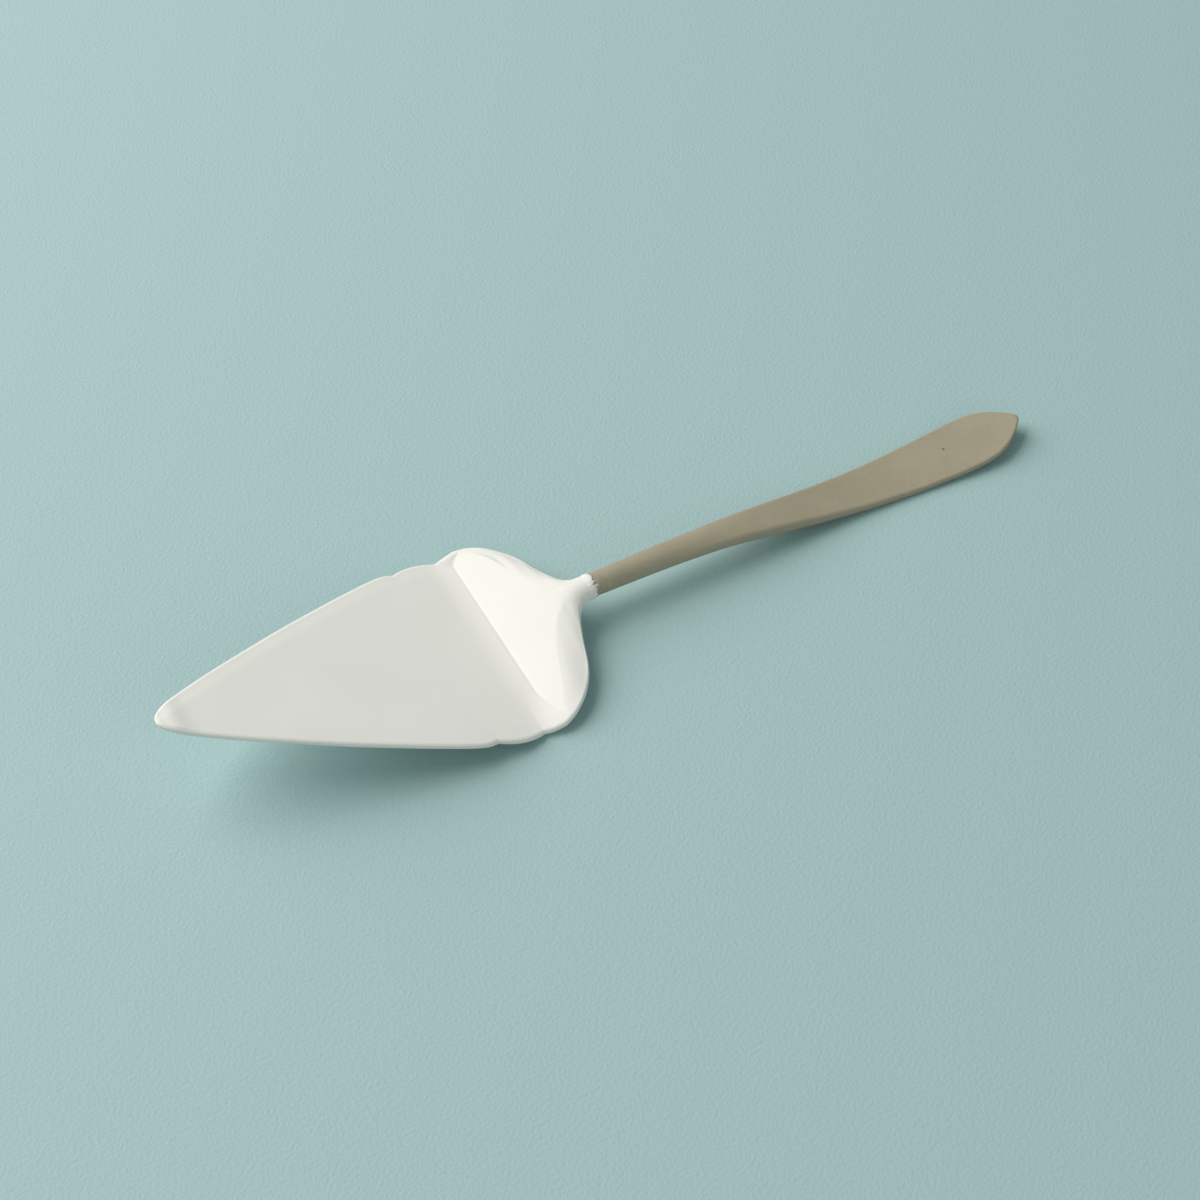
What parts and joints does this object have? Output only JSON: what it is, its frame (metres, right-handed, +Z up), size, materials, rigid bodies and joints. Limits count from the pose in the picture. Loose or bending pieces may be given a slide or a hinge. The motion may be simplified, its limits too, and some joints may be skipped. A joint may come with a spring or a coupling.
{
  "type": "cake server",
  "caption": "Enamelled steel cake server with a pointed white blade, scalloped shoulders, a raised neck and a slim taupe handle that flattens to a leaf.",
  "frame": {"origin": "middle of the outline seen from above, in the plane of the table that the heel and the handle's leaf rest on", "axes": "+X along the server from the blade's tip to the end of the handle, +Z up out of the food side, +Y to the left looking along +X"},
  "size_m": [0.2598, 0.0664, 0.0274],
  "materials": {
    "enamel": "gloss",
    "coat": "matte",
    "steel": "satin"
  },
  "bodies": {
    "root": {"blade_blank": "steel", "neck_weld": "steel", "handle_bar": "steel", "blade_enamel": "enamel", "handle_coat": "coat"}
  },
  "joints": []
}
